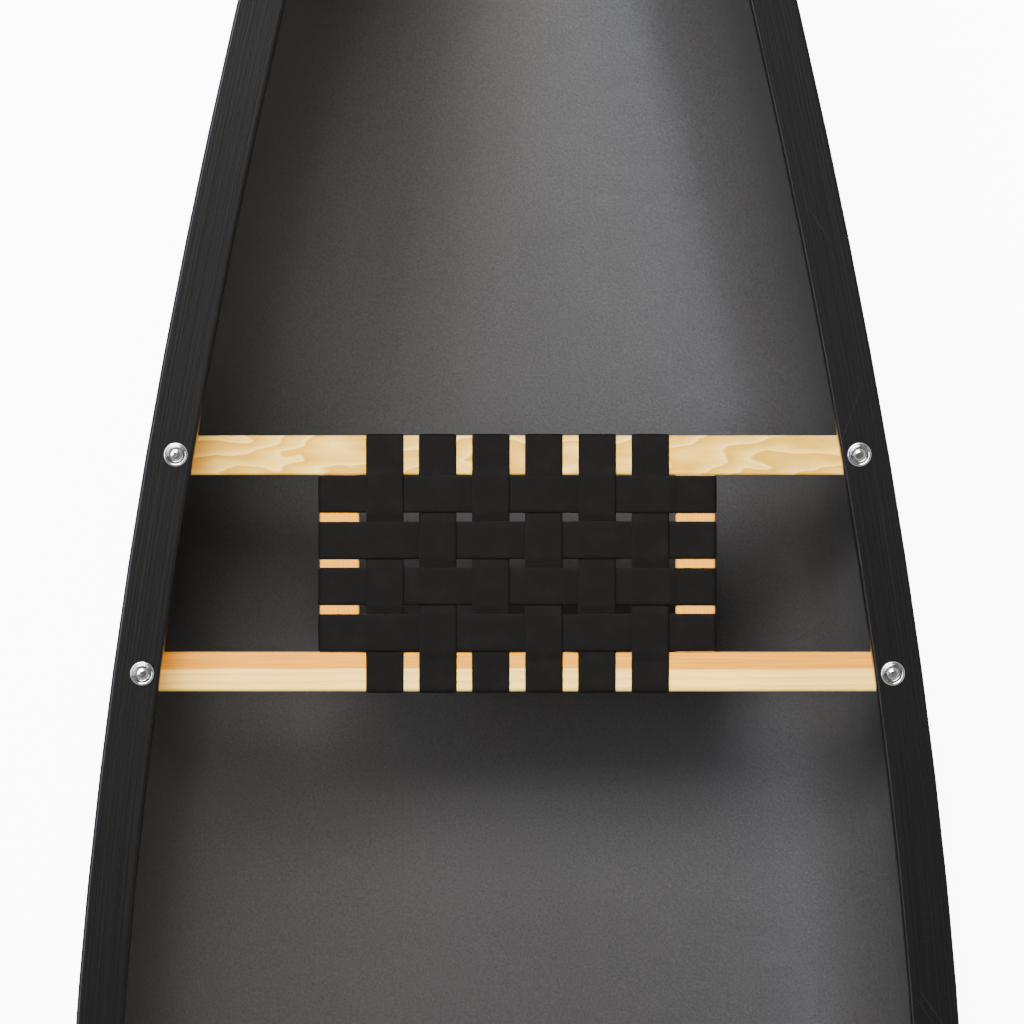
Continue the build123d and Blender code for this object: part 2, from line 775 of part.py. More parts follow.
def deck_cap():
    """The bow's deck cap: plate over the gunwales, skirt round them and the painter's boss."""
    first = half_length - deck_length
    aft = first - 60
    cap = deck_block(deck_wall + edge_gap, deck_skirt, deck_round + deck_round_ease, aft)
    front = [edge for edge in cap.edges() if edge.center().X > half_length + deck_wall]
    front = [edge for edge in front if edge.center().Z > sheer_height(half_length) - deck_rim_share * deck_skirt]
    cap = fillet(front, deck_round) - deck_block(edge_gap, 90, 0, aft - 5)
    scallop = Cylinder(deck_scallop_radius, 4 * end_height)
    behind = Box(400, 2 * beam, 4 * end_height, align=(Align.MAX, Align.CENTER, Align.CENTER))
    cap = cap - [Pos(first - deck_scallop_setback, 0, 0) * scallop, Pos(first, 0, 0) * behind]
    x = half_length - painter_setback
    stand = gradient(sheer_height, x) * painter_boss_radius + painter_boss_stand
    height = sheer_height(x) + edge_gap + deck_wall + stand
    boss = Cylinder(
        painter_boss_radius,
        painter_boss_length,
        align=(Align.CENTER, Align.CENTER, Align.MAX),
    )
    cap = cap + Pos(x, 0, height) * boss
    bore = Pos(x, 0, height) * Cylinder(painter_bore_radius, 4 * painter_boss_length)
    drills = deck_rivets(thread_gap)
    return cap - ([bore] + drills + [starboard(drill) for drill in drills])


# ---------------------------------------------------------------- assembly


def save(name, pieces):
    """Write one node from its pieces."""
    solids = []
    for piece in pieces:
        solids += piece.solids()
    shape = solids[0] if len(solids) == 1 else Compound(solids)
    export_step(shape, "parts/" + name + ".step")
    print(name, len(solids), round(sum(solid.volume for solid in solids)), flush=True)


def main():
    os.makedirs("parts", exist_ok=True)
    handle_station = half_length - handle_setback
    yoke_bolts = bar_bolts(0, (yoke_bolt_pitch / 2, -yoke_bolt_pitch / 2))
    thwart_bolts = bar_bolts(thwart_station, (0,))
    bow_handle_bolts = bar_bolts(handle_station, (0,))
    stern_handle_bolts = bar_bolts(-handle_station, (0,))
    bolts = yoke_bolts + thwart_bolts + bow_handle_bolts + stern_handle_bolts
    bolts = bolts + seat_bolts(bow_seat_station) + seat_bolts(stern_seat_station)
    cavity = hull_body(cavity_stations, hull_wall + bar_end_gap, 60)

    save("yoke", [yoke(cavity, yoke_bolts)])
    save("thwart", [cross_bar(thwart_station, thwart_end_width, thwart_waist, cavity, thwart_bolts)])
    ends = (("bow", handle_station, bow_handle_bolts), ("stern", -handle_station, stern_handle_bolts))
    for end, station, places in ends:
        handle = cross_bar(station, handle_end_width, handle_waist, cavity, places)
        save(end + "_carry_handle", [handle])
    fastener_set("yoke", both_sides(yoke_bolts))
    fastener_set("thwart", both_sides(thwart_bolts))
    fastener_set("handle", both_sides(bow_handle_bolts + stern_handle_bolts))

    deck = deck_cap()
    rivets = deck_rivets(0)
    rivets = rivets + [starboard(rivet) for rivet in rivets]
    save("bow_deck_cap", [deck])
    save("stern_deck_cap", [astern(deck)])
    save("bow_deck_rivets", rivets)
    save("stern_deck_rivets", [astern(rivet) for rivet in rivets])

    save_seat("bow_seat", bow_seat_station, cavity)
    save_seat("stern_seat", stern_seat_station, cavity)

    port_gunwale = gunwale(bolts)
    save("gunwale_port", [port_gunwale])
    save("gunwale_starboard", [starboard(port_gunwale)])
    port_stiffener = stiffener(bolts)
    save("gunwale_stiffener_port", [port_stiffener])
    save("gunwale_stiffener_starboard", [starboard(port_stiffener)])
    side_rivets = gunwale_rivet_row(0)
    save("gunwale_rivets_port", side_rivets)
    save("gunwale_rivets_starboard", [starboard(rivet) for rivet in side_rivets])

    save("hull", [hull()])


main()
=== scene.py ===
# %% [markdown]
# # A tandem canoe, dressed for a portrait
# The frame that we load is the finished carpentry of an open canoe: hull, gunwales, two woven seats,
# a carrying yoke, a thwart, handles, deck caps and every bolt. Nothing in it has a finish yet.
# In this lesson we set up a camera and soft light, mix one finish for each kind of material,
# weave the seats again out of real-looking webbing, and lay the finishes on.
# Everything is in metres: +X runs to the bow, +Y to port, and the floor is at zero.

# %% Load the frame
import math
import random

import bmesh
import bpy
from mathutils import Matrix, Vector


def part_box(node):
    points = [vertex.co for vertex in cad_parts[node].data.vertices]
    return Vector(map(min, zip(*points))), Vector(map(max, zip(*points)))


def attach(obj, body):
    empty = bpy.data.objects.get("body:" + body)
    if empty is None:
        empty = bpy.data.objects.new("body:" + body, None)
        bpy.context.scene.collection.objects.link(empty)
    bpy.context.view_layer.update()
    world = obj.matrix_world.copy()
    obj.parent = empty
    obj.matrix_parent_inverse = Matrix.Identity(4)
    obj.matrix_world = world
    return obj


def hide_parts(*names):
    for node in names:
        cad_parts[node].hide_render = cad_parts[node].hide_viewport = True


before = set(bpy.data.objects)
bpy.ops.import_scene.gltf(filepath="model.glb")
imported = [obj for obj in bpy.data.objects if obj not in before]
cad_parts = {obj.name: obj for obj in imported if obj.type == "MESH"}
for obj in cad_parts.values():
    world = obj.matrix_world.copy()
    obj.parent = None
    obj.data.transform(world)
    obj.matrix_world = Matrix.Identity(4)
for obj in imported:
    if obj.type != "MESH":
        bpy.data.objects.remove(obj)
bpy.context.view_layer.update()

# %% [markdown]
# ## Camera
# The boat is looked at from straight above the bow seat, with the bow at the top of the picture.
# A camera close by would show the gunwales leaning outwards, so it hangs eight metres up on a long lens,
# as a product photographer's would. The middle of the seat sits a little below the middle of the picture.

# %% Hang the camera over the bow seat
RIM = 0.376  # height of the gunwales beside the bow seat
CAMERA_HEIGHT = 8.0  # above the rim
VIEW_WIDTH = 1.024  # what the picture spans at the rim
VIEW_CENTRE = (0.898, 0.0055)


def hang_camera(x, y):
    """A camera that looks straight down, with the bow at the top."""
    lens = bpy.data.cameras.new("overhead camera")
    lens.sensor_width = 36
    lens.lens = lens.sensor_width * CAMERA_HEIGHT / VIEW_WIDTH
    lens.clip_end = 100
    holder = bpy.data.objects.new("overhead camera", lens)
    holder.location = (x, y, RIM + CAMERA_HEIGHT)
    holder.rotation_euler = (0, 0, -math.pi / 2)
    bpy.context.collection.objects.link(holder)
    return holder


bpy.context.scene.camera = hang_camera(*VIEW_CENTRE)
print("camera at", tuple(bpy.context.scene.camera.location))

# %% [markdown]
# ## Small tools for shaders
# A material in Blender is a graph of nodes. Wiring it by hand in code is wordy, so a few helpers do it:
# one makes a node and feeds its sockets, and the others each add one common kind of step.
# A value may be a number, a colour, or another node's output, and the first helper tells them apart.


# %% Helpers that make and wire nodes
def feed(tree, socket, value):
    """Link an output to a socket, or set the socket's own value."""
    if isinstance(value, bpy.types.NodeSocket):
        tree.links.new(value, socket)
    elif socket.type == "RGBA" and len(value) == 3:
        socket.default_value = (*value, 1)
    else:
        socket.default_value = value


def node(tree, kind, feeds=None, **settings):
    """A new shader node, with its sockets fed and its settings made."""
    made = tree.nodes.new("ShaderNode" + kind)
    for name, value in settings.items():
        setattr(made, name, value)
    for name, value in (feeds or {}).items():
        feed(tree, made.inputs[name], value)
    return made


def sums(tree, operation, *values):
    """One step of arithmetic on numbers."""
    return node(tree, "Math", dict(enumerate(values)), operation=operation).outputs[0]


def ramp(tree, mask, *stops):
    """A colour for each mask value; a stop is (place, colour)."""
    made = node(tree, "ValToRGB", {"Fac": mask})
    line = made.color_ramp.elements
    while len(line) < len(stops):
        line.new(0.5)
    for element, (place, colour) in zip(line, stops):
        element.position = place
        element.color = (*colour, 1) if isinstance(colour, tuple) else (colour, colour, colour, 1)
    return made.outputs["Color"]


def blended(tree, mask, first, second, how="MIX"):
    """Two colours mixed by a mask."""
    made = node(tree, "Mix", data_type="RGBA", blend_type=how, clamp_factor=True)
    feed(tree, made.inputs["Factor"], mask)
    feed(tree, made.inputs[6], first)
    feed(tree, made.inputs[7], second)
    return made.outputs[2]


def stretched(tree, place, scale, shift=(0, 0, 0)):
    """The place, scaled and shifted for a texture."""
    scaled = node(tree, "VectorMath", {0: place, 1: scale, 2: shift}, operation="MULTIPLY_ADD")
    return scaled.outputs[0]


def speckle(tree, place, scale, detail=2.0, roughness=0.5, distortion=0.0):
    """Noise between 0 and 1."""
    feeds = {"Vector": place, "Scale": scale, "Detail": detail, "Roughness": roughness}
    return node(tree, "TexNoise", {**feeds, "Distortion": distortion}).outputs[0]


def between(tree, value, low, high, to_low=0.0, to_high=1.0):
    """Map a value from one range to another, and stop at its ends."""
    feeds = {"Value": value, "From Min": low, "From Max": high, "To Min": to_low, "To Max": to_high}
    return node(tree, "MapRange", feeds, clamp=True).outputs[0]


print("helpers ready")

# %% [markdown]
# ## Effects that several finishes share
# Some effects turn up on more than one material, so each is built once as a node group with named
# inputs and outputs, and every material that places it gives it its own values.
# A group is only wiring: it hands back colours, masks and heights, and the material holds the shader.


# %% A helper that starts a node group
def new_group(name, inputs, outputs):
    """A shader node group with sockets; returns the tree, its input node and its output node."""
    tree = bpy.data.node_groups.new(name, "ShaderNodeTree")
    for label, kind, value in inputs:
        socket = tree.interface.new_socket(label, in_out="INPUT", socket_type="NodeSocket" + kind)
        if kind == "Color":
            socket.default_value = (*value, 1)
        elif kind == "Float":
            socket.default_value = value
    for label, kind in outputs:
        tree.interface.new_socket(label, in_out="OUTPUT", socket_type="NodeSocket" + kind)
    return tree, tree.nodes.new("NodeGroupInput"), tree.nodes.new("NodeGroupOutput")


def place_group(tree, group, feeds):
    """One use of a node group, with its inputs fed."""
    made = tree.nodes.new("ShaderNodeGroup")
    made.node_tree = group
    for name, value in feeds.items():
        feed(tree, made.inputs[name], value)
    return made


# %% [markdown]
# ### Moulded grain
# Sheet plastic and vinyl come off their moulds with a fine pebble, a millimetre or so across, and the
# sheet is never quite even in tone. Two sizes of noise make the pebble, and one broad noise makes the drift
# in tone. The tone is also painted lighter on the pebble's tops and darker in its hollows, as painted shade.


# %% Group: moulded grain
def build_moulded_grain():
    tree, given, out = new_group(
        "moulded grain",
        [("Place", "Vector", None), ("Pebbles per metre", "Float", 420.0), ("Drift", "Float", 0.2)],
        [("Height", "Float"), ("Tone and painted shade", "Float"), ("Drift", "Float")],
    )
    place, pebbles = given.outputs["Place"], given.outputs["Pebbles per metre"]
    coarse = speckle(tree, place, pebbles, 2.0, 0.6)
    fine = speckle(tree, place, sums(tree, "MULTIPLY", pebbles, 2.7), 1.0, 0.5)
    height = sums(tree, "MULTIPLY_ADD", fine, 0.4, sums(tree, "MULTIPLY", coarse, 0.6))
    broad = speckle(tree, place, 2.6, 3.0, 0.55, 0.4)
    drift = sums(tree, "MULTIPLY_ADD", sums(tree, "SUBTRACT", broad, 0.5), given.outputs["Drift"], 1.0)
    # painted shade: lighter on the pebble's tops and darker in its hollows, times the sheet's own drift in
    # tone
    tone = sums(tree, "MULTIPLY", between(tree, height, 0.3, 0.7, 0.70, 1.30), drift)
    feed(tree, out.inputs["Height"], height)
    feed(tree, out.inputs["Tone and painted shade"], tone)
    feed(tree, out.inputs["Drift"], broad)
    return tree


moulded_grain = build_moulded_grain()

# %% [markdown]
# ### Scuffs
# Boots, packs and gravel leave short pale hairlines on a hull and dull marks on its trim. Noise stretched
# a hundred to one makes hairlines, and a second, broad noise keeps them to a few patches.


# %% Group: scuffs
def build_scuffs():
    tree, given, out = new_group(
        "scuffs",
        [("Place", "Vector", None), ("Amount", "Float", 0.5)],
        [("Mask", "Float")],
    )
    place = given.outputs["Place"]
    lines = []
    for turn, across in ((0.35, 520.0), (-0.6, 430.0), (1.2, 610.0)):
        turned = node(tree, "VectorRotate", {"Vector": place, "Angle": turn}, rotation_type="Z_AXIS")
        streak = speckle(tree, stretched(tree, turned.outputs[0], (7, across, 60)), 1.0, 2.0, 0.5)
        lines.append(between(tree, streak, 0.71, 0.78))
    most = sums(tree, "MAXIMUM", sums(tree, "MAXIMUM", lines[0], lines[1]), lines[2])
    patches = between(tree, speckle(tree, place, 4.0, 2.0), 0.48, 0.66)
    mask = sums(tree, "MULTIPLY", sums(tree, "MULTIPLY", most, patches), given.outputs["Amount"])
    feed(tree, out.inputs["Mask"], mask)
    return tree


scuffs = build_scuffs()

# %% [markdown]
# ### Wood figure
# The pattern on a board is a slice through the tree's rings. Cut straight down the grain, the rings are
# thin straight lines; cut on a slope, each ring crosses the face as a wide wavy band. One number, the slope,
# gives both. Pale early wood drifts into darker late wood and then stops sharply, so the ramp is one-sided.
# Fibres and short open pores lie along the board on top of that.


# %% Group: wood figure
def build_wood_figure():
    tree, given, out = new_group(
        "wood figure",
        [
            ("Place", "Vector", None),
            ("Board", "Float", 0.0),
            ("Ring pitch", "Float", 0.004),
            ("Slope", "Float", 0.02),
            ("Wander", "Float", 0.01),
            ("Sharpness", "Float", 0.5),
            ("Early wood", "Color", (0.8, 0.6, 0.4)),
            ("Late wood", "Color", (0.6, 0.4, 0.2)),
        ],
        [("Colour", "Color"), ("Height", "Float"), ("Pores", "Float")],
    )
    board = given.outputs["Board"]
    aside, across = sums(tree, "MULTIPLY", board, 1.7), sums(tree, "MULTIPLY", board, 0.31)
    apart = node(tree, "CombineXYZ", {"X": aside, "Y": across, "Z": board}).outputs[0]
    place = node(tree, "VectorMath", {0: given.outputs["Place"], 1: apart}, operation="ADD").outputs[0]
    axes = node(tree, "SeparateXYZ", {"Vector": place})
    broad = speckle(tree, stretched(tree, place, (11, 34, 34)), 1.0, 2.0, 0.5)
    small = speckle(tree, stretched(tree, place, (30, 120, 120)), 1.0, 2.0, 0.5)
    sway = sums(tree, "MULTIPLY", sums(tree, "SUBTRACT", broad, 0.5), 2.0)
    wave = sums(tree, "ADD", sway, sums(tree, "MULTIPLY", small, 0.25))
    bend = sums(tree, "MULTIPLY", wave, given.outputs["Wander"])
    depth = sums(tree, "MULTIPLY_ADD", axes.outputs["Z"], 0.6, bend)
    sloped = sums(tree, "MULTIPLY_ADD", axes.outputs["X"], given.outputs["Slope"], depth)
    count = sums(tree, "DIVIDE", sums(tree, "ADD", sloped, axes.outputs["Y"]), given.outputs["Ring pitch"])
    ring = sums(tree, "FRACT", count)
    rise = sums(tree, "POWER", ring, sums(tree, "MULTIPLY_ADD", given.outputs["Sharpness"], 3.0, 0.8))
    fall = between(tree, ring, 0.9, 1.0, 1.0, 0.0)
    late = sums(tree, "MULTIPLY", rise, fall)
    fibres = speckle(tree, stretched(tree, place, (16, 1100, 1100)), 1.0, 3.0, 0.6)
    pores = between(tree, speckle(tree, stretched(tree, place, (45, 1900, 1900)), 1.0, 1.0), 0.66, 0.74)
    blotch = speckle(tree, stretched(tree, place, (5, 30, 30)), 1.0, 2.0)
    colour = blended(tree, late, given.outputs["Early wood"], given.outputs["Late wood"])
    fibre_tone = between(tree, fibres, 0.3, 0.7, 0.93, 1.05)
    tone = sums(tree, "MULTIPLY", fibre_tone, between(tree, blotch, 0.3, 0.7, 0.95, 1.04))
    grey = node(tree, "CombineXYZ", {"X": tone, "Y": tone, "Z": tone}).outputs[0]
    toned = blended(tree, 1.0, colour, grey, "MULTIPLY")
    dark = blended(tree, sums(tree, "MULTIPLY", pores, 0.22), toned, (0.28, 0.10, 0.020))
    feed(tree, out.inputs["Colour"], dark)
    feed(tree, out.inputs["Height"], sums(tree, "SUBTRACT", fibres, sums(tree, "MULTIPLY", pores, 0.5)))
    feed(tree, out.inputs["Pores"], pores)
    return tree


wood_figure = build_wood_figure()

# %% [markdown]
# ### Following the gunwale
# A gunwale is one long extrusion that bends round the boat, and its faint die lines bend with it. Noise
# stretched along plain X would cut across them. This group works out how far a point is outboard of the
# boat's plan line and above its sheer line, so that a stretched noise runs along the curved trim.

# %% Group: along the gunwale
HALF_LENGTH = 2.4352  # to the end of the gunwales
HALF_TIP = 0.025  # half of the boat's width at its ends
HALF_SWELL = 0.432  # how much wider the middle is, on each side
PLAN_POWER, PLAN_TAPER = 1.974, 1.28
CENTRE_DEPTH, SHEER_RISE, SHEER_POWER = 0.368, 0.172, 3.0


def build_along_gunwale():
    tree, given, out = new_group("along the gunwale", [("Place", "Vector", None)], [("Place", "Vector")])
    axes = node(tree, "SeparateXYZ", {"Vector": given.outputs["Place"]})
    share = sums(tree, "DIVIDE", sums(tree, "ABSOLUTE", axes.outputs["X"]), HALF_LENGTH)
    share = sums(tree, "MINIMUM", share, 0.9999)
    inside = sums(tree, "SUBTRACT", 1.0, sums(tree, "POWER", share, PLAN_POWER))
    plan = sums(tree, "MULTIPLY_ADD", sums(tree, "POWER", inside, PLAN_TAPER), HALF_SWELL, HALF_TIP)
    sheer = sums(tree, "MULTIPLY_ADD", sums(tree, "POWER", share, SHEER_POWER), SHEER_RISE, CENTRE_DEPTH)
    out_by = sums(tree, "SUBTRACT", sums(tree, "ABSOLUTE", axes.outputs["Y"]), plan)
    up_by = sums(tree, "SUBTRACT", axes.outputs["Z"], sheer)
    bent = node(tree, "CombineXYZ", {"X": axes.outputs["X"], "Y": out_by, "Z": up_by})
    feed(tree, out.inputs["Place"], bent.outputs[0])
    return tree


along_gunwale = build_along_gunwale()

# %% [markdown]
# ### Woven webbing
# Seat webbing is a heavy nylon tape. Its yarns run lengthwise in ribs about 2 mm wide, crossed by the weft
# every 2 mm, and each edge ends in a round selvedge. The group reads a UV map laid out in metres,
# across and along the strap, so the ribs keep their true size on every strap however it bends.


# %% Group: webbing weave
WEFT_PITCH = 0.0021
SELVEDGE = (0.0168, 0.0186)  # from the strap's middle


def build_weave():
    tree, given, out = new_group(
        "webbing weave",
        [("Across and along", "Vector", None), ("Rib width", "Float", 0.0019)],
        [("Height", "Float"), ("Yarn", "Float"), ("Edge", "Float")],
    )
    axes = node(tree, "SeparateXYZ", {"Vector": given.outputs["Across and along"]})
    across = sums(tree, "DIVIDE", axes.outputs["X"], given.outputs["Rib width"])
    rib_number = sums(tree, "FLOOR", across)
    odd = sums(tree, "MODULO", sums(tree, "ABSOLUTE", rib_number), 2.0)
    along = sums(tree, "MULTIPLY_ADD", odd, 0.5, sums(tree, "DIVIDE", axes.outputs["Y"], WEFT_PITCH))
    rib = sums(tree, "ABSOLUTE", sums(tree, "SINE", sums(tree, "MULTIPLY", across, math.pi)))
    pick = sums(tree, "ABSOLUTE", sums(tree, "SINE", sums(tree, "MULTIPLY", along, math.pi)))
    height = sums(tree, "MULTIPLY", sums(tree, "POWER", rib, 0.6), between(tree, pick, 0.0, 1.0, 0.45, 1.0))
    yarn = speckle(tree, stretched(tree, given.outputs["Across and along"], (2600, 240, 1)), 1.0, 2.0)
    edge = between(tree, sums(tree, "ABSOLUTE", axes.outputs["X"]), *SELVEDGE)
    feed(tree, out.inputs["Height"], height)
    feed(tree, out.inputs["Yarn"], yarn)
    feed(tree, out.inputs["Edge"], edge)
    return tree


weave = build_weave()
print("groups:", [g.name for g in bpy.data.node_groups])

# %% [markdown]
# ## Finishes
# Each material starts the same way: a Principled shader, and the point's place on the boat in metres.
# Its colour, roughness and bump then come from the groups above.


# %% A helper that starts a material
def new_finish(name, **sockets):
    """A material with a Principled shader; returns it, its tree, the shader and the place in metres."""
    made = bpy.data.materials.new(name)
    made.use_nodes = True
    tree = made.node_tree
    shader = tree.nodes["Principled BSDF"]
    for socket, value in sockets.items():
        feed(tree, shader.inputs[socket.replace("_", " ")], value)
    place = node(tree, "TexCoord").outputs["Object"]
    return made, tree, shader, place


def bumped(tree, shader, height, depth, strength=1.0):
    """Bump of a real depth in metres."""
    made = node(tree, "Bump", {"Height": height, "Distance": depth, "Strength": strength})
    feed(tree, shader.inputs["Normal"], made.outputs["Normal"])


def toned(tree, colour, tone):
    """A colour made lighter or darker by a number."""
    grey = node(tree, "CombineXYZ", {"X": tone, "Y": tone, "Z": tone}).outputs[0]
    return blended(tree, 1.0, colour, grey, "MULTIPLY")


# %% [markdown]
# ### Hull laminate
# The hull is one moulding with two faces. Inside it is a satin charcoal with a fine pebble; outside, where
# the river sees it, a deep spruce green with the hairline scratches of landings. One mesh carries both, so
# the material has to know which face it is on: outside faces point away from the keel line or downwards.
# The outside shines less, because seen along the boat it would otherwise mirror the white floor.


# %% Mix the hull laminate
CHARCOAL, CHARCOAL_RUB = (0.0310, 0.0298, 0.0290), (0.07, 0.067, 0.064)
SPRUCE, SPRUCE_SCRATCH = (0.010, 0.034, 0.024), (0.10, 0.13, 0.11)
INNER_GLOSS, OUTER_GLOSS = 0.20, 0.03


def mix_hull_laminate():
    made, tree, shader, place = new_finish("hull laminate")
    facing = node(tree, "NewGeometry").outputs["Normal"]
    way, spot = node(tree, "SeparateXYZ", {"Vector": facing}), node(tree, "SeparateXYZ", {"Vector": place})
    sideways = sums(tree, "MULTIPLY", sums(tree, "SIGN", spot.outputs["Y"]), way.outputs["Y"])
    endways = sums(tree, "MULTIPLY", sums(tree, "SIGN", spot.outputs["X"]), way.outputs["X"])
    outward = sums(tree, "SUBTRACT", sums(tree, "MULTIPLY_ADD", endways, 0.3, sideways), way.outputs["Z"])
    outside = sums(tree, "GREATER_THAN", outward, 0.0)
    grain = place_group(tree, moulded_grain, {"Place": place, "Pebbles per metre": 380.0, "Drift": 0.35})
    marks = place_group(tree, scuffs, {"Place": place, "Amount": 0.55}).outputs["Mask"]
    # the charcoal takes the grain's tone, which is painted darker in the pebble's hollows
    inner = toned(tree, CHARCOAL, grain.outputs["Tone and painted shade"])
    outer = toned(tree, SPRUCE, between(tree, grain.outputs["Drift"], 0.3, 0.7, 0.9, 1.1))
    scratched = blended(tree, sums(tree, "MULTIPLY", marks, outside), outer, SPRUCE_SCRATCH)
    rubbed = blended(tree, sums(tree, "MULTIPLY", marks, 0.12), inner, CHARCOAL_RUB)
    feed(tree, shader.inputs["Base Color"], blended(tree, outside, rubbed, scratched))
    inner_rough = between(tree, grain.outputs["Drift"], 0.3, 0.7, 0.33, 0.40)
    outer_rough = sums(tree, "MULTIPLY_ADD", marks, 0.2, 0.38)
    rough = node(tree, "Mix", {"Factor": outside, "A": inner_rough, "B": outer_rough})
    feed(tree, shader.inputs["Roughness"], rough.outputs[0])
    gloss = between(tree, outside, 0.0, 1.0, INNER_GLOSS, OUTER_GLOSS)
    feed(tree, shader.inputs["Specular IOR Level"], gloss)
    depth = sums(tree, "MULTIPLY", grain.outputs["Height"], between(tree, outside, 0.0, 1.0, 1.0, 0.15))
    bumped(tree, shader, depth, 0.00028)
    return made


hull_laminate = mix_hull_laminate()

# %% [markdown]
# ### Black vinyl
# Gunwales are drawn out of a die as one long black vinyl section, which leaves faint lines along them and a
# soft shine. Deck caps are moulded from the same stock with an even pebble. One recipe makes both: the
# gunwales' place is bent round the boat before it reaches the noise.


# %% Mix the vinyls
def mix_vinyl(name, colour, drawn):
    """Drawn vinyl has lines that follow the gunwale; moulded vinyl has hardly any."""
    made, tree, shader, place = new_finish(name, Specular_IOR_Level=0.21)
    along = place_group(tree, along_gunwale, {"Place": place}).outputs["Place"] if drawn else place
    grain = place_group(tree, moulded_grain, {"Place": place, "Pebbles per metre": 700.0, "Drift": 0.3})
    lines = speckle(tree, stretched(tree, along, (3.0, 620, 620)), 1.0, 3.0, 0.6)
    marks = place_group(tree, scuffs, {"Place": place, "Amount": 0.5}).outputs["Mask"]
    share = 1.0 if drawn else 0.15
    streak = between(tree, lines, 0.3, 0.7, 1 - 0.08 * share, 1 + 0.09 * share)
    # the grain's tone, painted darker in the pebble's hollows, times the die-line streaks
    tone = sums(tree, "MULTIPLY", grain.outputs["Tone and painted shade"], streak)
    worn = blended(tree, sums(tree, "MULTIPLY", marks, 0.35), toned(tree, colour, tone), (0.03, 0.03, 0.03))
    feed(tree, shader.inputs["Base Color"], worn)
    rough = between(tree, lines, 0.3, 0.7, 0.27 - 0.03 * share, 0.29 + 0.03 * share)
    feed(tree, shader.inputs["Roughness"], sums(tree, "MULTIPLY_ADD", marks, 0.2, rough))
    height = sums(tree, "MULTIPLY_ADD", lines, share, sums(tree, "MULTIPLY", grain.outputs["Height"], 0.5))
    bumped(tree, shader, height, 0.00007)
    return made


gunwale_vinyl = mix_vinyl("gunwale vinyl", (0.0030, 0.0030, 0.0031), True)
deck_vinyl = mix_vinyl("deck cap vinyl", (0.0042, 0.0042, 0.0043), False)

# %% [markdown]
# ### Wood
# The seats and bars are clear varnished wood, and no two boards are alike, so each takes its own material
# from one recipe: which way it runs, how its rings cross it, and its two colours. The front rail of a seat
# was sawn on a slope and shows wide golden waves. The rear rail was sawn near the edge of the log, half in
# warm heartwood and half in pale sapwood. A thin varnish makes the pores shallow and the surface satin.

# %% Mix the woods
SAPWOOD = (0.93, 0.62, 0.135)
SAP_LINE = (0.84, 0.42, 0.075)
GOLDEN = (0.56, 0.285, 0.006)
WARM_HEART = (0.70, 0.280, 0.006)
SIDE_GRAIN = (0.78, 0.310, 0.006)
HEARTWOOD = (0.64, 0.245, 0.006)
ASH_PALE = (0.84, 0.44, 0.085)
ASH_DARK = (0.58, 0.250, 0.028)
EDGE_TINT = (0.56, 0.43, 0.040)  # a darker, greener tone, mixed halfway in over the last few millimetres before a rear rail's rear face
SEAT_STATIONS = {"bow_seat": 0.846, "stern_seat": -1.330}  # of each seat's middle, along the boat
HALF_DEPTH = 0.1295  # seat's middle to the outer face of a long rail


def mix_wood(name, board, runs="Y", early=ASH_PALE, late=ASH_DARK, split=None, **figure_settings):
    """One board's material. split is (X where two tones meet, the tone beyond it, X of the rear edge)."""
    grown = {"pitch": 0.004, "slope": 0.02, "wander": 0.008, "sharpness": 0.5, **figure_settings}
    made, tree, shader, place = new_finish(name, Specular_IOR_Level=0.06, Coat_Roughness=0.30)
    axes = node(tree, "SeparateXYZ", {"Vector": place})
    order = {"X": "XYZ", "Y": "YXZ"}[runs]
    laid = node(tree, "CombineXYZ", {t: axes.outputs[a] for t, a in zip("XYZ", order)}).outputs[0]
    figure = place_group(tree, wood_figure, {
        "Place": laid, "Board": board, "Ring pitch": grown["pitch"], "Slope": grown["slope"],
        "Wander": grown["wander"], "Sharpness": grown["sharpness"], "Early wood": early, "Late wood": late})
    colour = figure.outputs["Colour"]
    if split:
        meet, tone_beyond, rear = split
        wavy = speckle(tree, stretched(tree, laid, (9, 60, 60)), 1.0, 2.0)
        line = sums(tree, "MULTIPLY_ADD", wavy, 0.006, axes.outputs["X"])
        beyond = between(tree, line, meet + 0.0024, meet + 0.0040)
        fine = speckle(tree, stretched(tree, laid, (10, 900, 900)), 1.0, 2.0)
        heart = toned(tree, tone_beyond, between(tree, fine, 0.3, 0.7, 0.80, 1.12))
        colour = blended(tree, beyond, colour, heart)
        last = between(tree, axes.outputs["X"], rear + 0.0025, rear + 0.0045, 0.5, 0.0)
        colour = blended(tree, last, colour, EDGE_TINT)
    feed(tree, shader.inputs["Base Color"], colour)
    rough = sums(tree, "MULTIPLY_ADD", figure.outputs["Pores"], 0.2, 0.50)
    feed(tree, shader.inputs["Roughness"], rough)
    feed(tree, shader.inputs["Coat Weight"], sums(tree, "MULTIPLY_ADD", figure.outputs["Pores"], -0.08, 0.10))
    bumped(tree, shader, figure.outputs["Height"], 0.00010)
    return made


